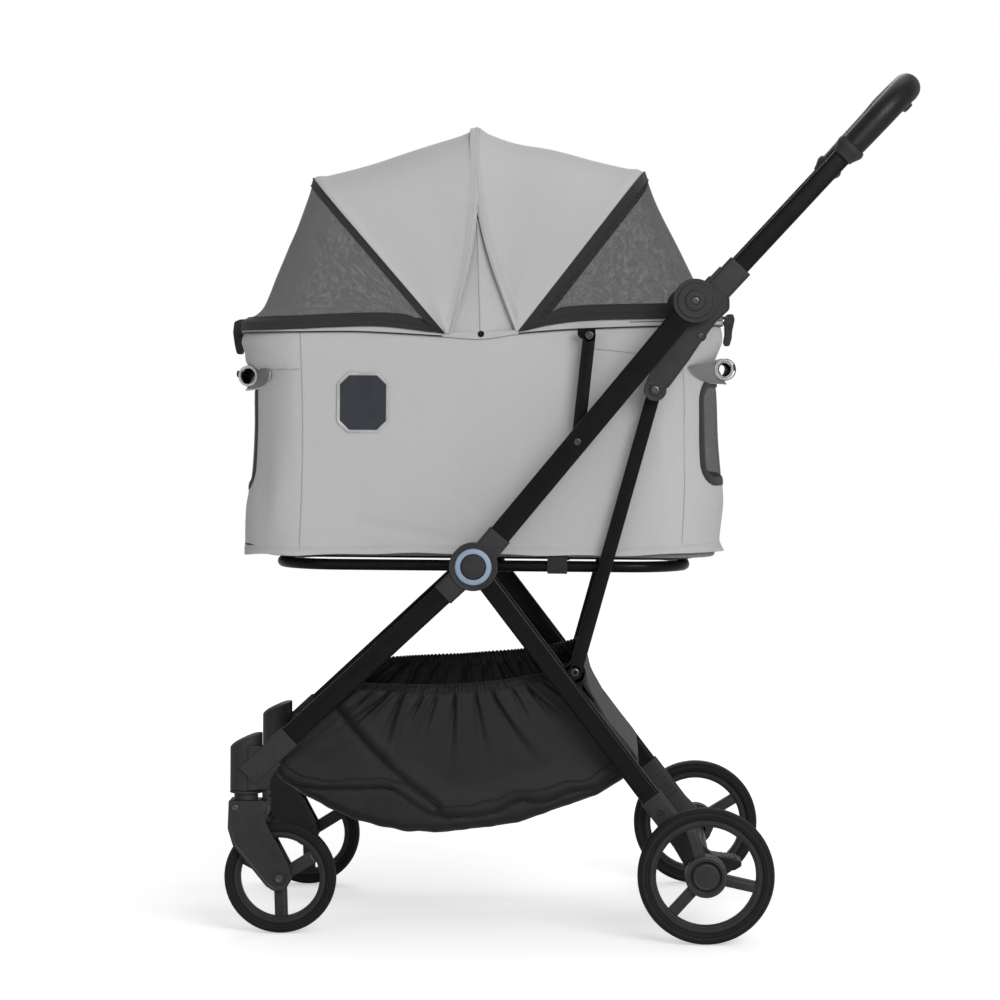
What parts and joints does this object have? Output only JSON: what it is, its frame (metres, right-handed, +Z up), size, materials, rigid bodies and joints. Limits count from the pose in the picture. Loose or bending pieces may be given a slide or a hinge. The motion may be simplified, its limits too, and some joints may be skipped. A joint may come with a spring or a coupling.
{
  "type": "pet stroller",
  "caption": "Folding four-wheel pet stroller: hinged side frames, drop-in fabric cabin under a three-hoop canopy, storage basket, swivel front casters, braked rear axle.",
  "frame": {"origin": "middle of the bounding box in plan, on the floor", "axes": "+Z up, +X to the rear (handle end), +Y to the right side"},
  "size_m": [0.8484, 0.528, 1.0443],
  "materials": {
    "black_tube": "black powder coat with a soft satin sheen",
    "black_plastic": "black moulded nylon, fine grain",
    "grey_plastic": "charcoal moulded plastic, satin",
    "hub_ring_blue": "blue-grey moulded ring",
    "tyre": "black solid rubber-like tread",
    "grip_leather": "black leather-look grip cover",
    "grey_fabric": "light grey woven polyester, matt",
    "black_mesh": "black see-through net",
    "black_fabric": "black satin-like polyester",
    "mat_fabric": "mid-grey padded fabric"
  },
  "bodies": {
    "chassis": {"left_side_tube": "black_tube", "left_front_leg": "black_tube", "left_hub": "black_plastic", "left_hub_ring": "hub_ring_blue", "left_hinge_housing": "black_plastic", "left_caster_housing": "black_plastic", "right_side_tube": "black_tube", "right_front_leg": "black_tube", "right_hub": "black_plastic", "right_hub_ring": "hub_ring_blue", "right_hinge_housing": "black_plastic", "right_caster_housing": "black_plastic", "front_cross_tube": "black_tube", "storage_basket": "black_fabric"},
    "rear_legs": {"left_rear_leg": "black_tube", "left_axle_housing": "black_plastic", "right_rear_leg": "black_tube", "right_axle_housing": "black_plastic", "rear_axle": "black_tube"},
    "handle": {"left_handle_bracket": "black_plastic", "left_handle_tube": "black_tube", "left_grip_collar": "black_plastic", "right_handle_bracket": "black_plastic", "right_handle_tube": "black_tube", "right_grip_collar": "black_plastic", "handle_grip": "grip_leather"},
    "drop_links": {"left_drop_link": "black_tube", "right_drop_link": "black_tube"},
    "posts": {"left_post": "black_tube", "right_post": "black_tube"},
    "cabin_rim": {"rim_frame": "black_tube", "front_clip": "black_plastic", "rear_clip": "black_plastic", "cabin": "grey_fabric"},
    "cabin_base": {"base_loop": "black_tube", "base_board": "black_plastic", "mat": "mat_fabric"},
    "rear_hoop": {"rear_bow": "black_plastic", "rear_mesh": "black_mesh"},
    "middle_hoop": {"mid_bow": "black_plastic", "rear_roof": "grey_fabric"},
    "front_hoop": {"front_bow": "black_plastic", "front_roof": "grey_fabric", "front_mesh": "black_mesh"},
    "left_caster": {"left_caster_fork": "black_plastic"},
    "right_caster": {"right_caster_fork": "black_plastic"},
    "left_front_roller": {"left_front_tyre": "tyre", "left_front_wheel": "grey_plastic"},
    "right_front_roller": {"right_front_tyre": "tyre", "right_front_wheel": "grey_plastic"},
    "left_rear_roller": {"left_rear_tyre": "tyre", "left_rear_wheel": "grey_plastic", "left_hub_cap": "black_plastic"},
    "right_rear_roller": {"right_rear_tyre": "tyre", "right_rear_wheel": "grey_plastic", "right_hub_cap": "black_plastic"},
    "pedal": {"brake_pedal": "grey_plastic"},
    "left_lock": {"left_swivel_lock": "grey_plastic"},
    "right_lock": {"right_swivel_lock": "grey_plastic"},
    "release_button": {"fold_release": "grey_plastic"}
  },
  "joints": [
    {"name": "handle_fold", "type": "hinge", "parent": "chassis", "child": "handle", "pos_m": [0.14929, 0, 0.76841], "axis": [0, -1, 0], "range_deg": [0, 165]},
    {"name": "rear_leg_fold", "type": "hinge", "parent": "chassis", "child": "rear_legs", "pos_m": [-0.11384, 0, 0.4475], "axis": [0, -1, 0], "range_deg": [0, 89], "deforming": ["storage_basket"]},
    {"name": "drop_link_swing", "type": "hinge", "parent": "handle", "child": "drop_links", "pos_m": [0.10279, 0, 0.66141], "axis": [0, -1, 0], "range_deg": [-185, 0]},
    {"name": "post_swing", "type": "hinge", "parent": "chassis", "child": "posts", "pos_m": [0.01011, 0, 0.59868], "axis": [0, -1, 0], "range_deg": [-14, 0]},
    {"name": "cabin_tilt", "type": "hinge", "parent": "handle", "child": "cabin_rim", "pos_m": [0.15629, 0, 0.72741], "axis": [0, -1, 0], "range_deg": [-125.5, 0]},
    {"name": "base_rise", "type": "slide", "parent": "cabin_rim", "child": "cabin_base", "axis": [-0.052, 0, 0.9986], "range_m": [0, 0.225], "deforming": ["cabin"]},
    {"name": "rear_hoop_fold", "type": "hinge", "parent": "cabin_rim", "child": "rear_hoop", "pos_m": [-0.10871, 0, 0.72741], "axis": [0, -1, 0], "range_deg": [-41.5, 0], "deforming": ["rear_mesh"]},
    {"name": "middle_hoop_fold", "type": "hinge", "parent": "rear_hoop", "child": "middle_hoop", "pos_m": [-0.10871, 0, 0.72741], "axis": [0, -1, 0], "range_deg": [-43.5, 0], "deforming": ["rear_roof"]},
    {"name": "canopy_open", "type": "hinge", "parent": "middle_hoop", "child": "front_hoop", "pos_m": [-0.10871, 0, 0.72741], "axis": [0, -1, 0], "range_deg": [-39, 0], "deforming": ["front_roof", "front_mesh"]},
    {"name": "left_caster_swivel", "type": "hinge", "parent": "chassis", "child": "left_caster", "pos_m": [-0.38784, -0.201, 0.19], "axis": [0, 0, 1], "continuous": true},
    {"name": "left_front_wheel_spin", "type": "hinge", "parent": "left_caster", "child": "left_front_roller", "pos_m": [-0.34584, -0.201, 0.068], "axis": [0, 1, 0], "continuous": true},
    {"name": "left_rear_wheel_spin", "type": "hinge", "parent": "rear_legs", "child": "left_rear_roller", "pos_m": [0.16816, -0.2485, 0.082], "axis": [0, 1, 0], "continuous": true},
    {"name": "left_swivel_lock_drop", "type": "slide", "parent": "chassis", "child": "left_lock", "axis": [0, 0, -1], "range_m": [0, 0.006]},
    {"name": "right_caster_swivel", "type": "hinge", "parent": "chassis", "child": "right_caster", "pos_m": [-0.38784, 0.201, 0.19], "axis": [0, 0, 1], "continuous": true},
    {"name": "right_front_wheel_spin", "type": "hinge", "parent": "right_caster", "child": "right_front_roller", "pos_m": [-0.34584, 0.201, 0.068], "axis": [0, 1, 0], "continuous": true},
    {"name": "right_rear_wheel_spin", "type": "hinge", "parent": "rear_legs", "child": "right_rear_roller", "pos_m": [0.16816, 0.2485, 0.082], "axis": [0, 1, 0], "continuous": true},
    {"name": "right_swivel_lock_drop", "type": "slide", "parent": "chassis", "child": "right_lock", "axis": [0, 0, -1], "range_m": [0, 0.006]},
    {"name": "brake_press", "type": "hinge", "parent": "rear_legs", "child": "pedal", "pos_m": [0.16816, -0.139, 0.082], "axis": [0, 1, 0], "range_deg": [0, 18]},
    {"name": "fold_release_press", "type": "slide", "parent": "handle", "child": "release_button", "axis": [-0.7145, 0, 0.6997], "range_m": [0, 0.004], "stiffness_N_per_m": 500}
  ],
  "couplings": [
    {"joint": "rear_leg_fold", "follows": "handle_fold", "ratio": 0.53885},
    {"joint": "drop_link_swing", "follows": "handle_fold", "ratio": -1.1196},
    {"joint": "cabin_tilt", "follows": "handle_fold", "ratio": -0.75964},
    {"joint": "base_rise", "follows": "handle_fold", "m_per_rad": 0.078061},
    {"joint": "post_swing", "follows": "handle_fold", "ratio": -0.084303},
    {"joint": "rear_hoop_fold", "follows": "handle_fold", "ratio": -0.24849},
    {"joint": "middle_hoop_fold", "follows": "handle_fold", "ratio": -0.26061}
  ]
}
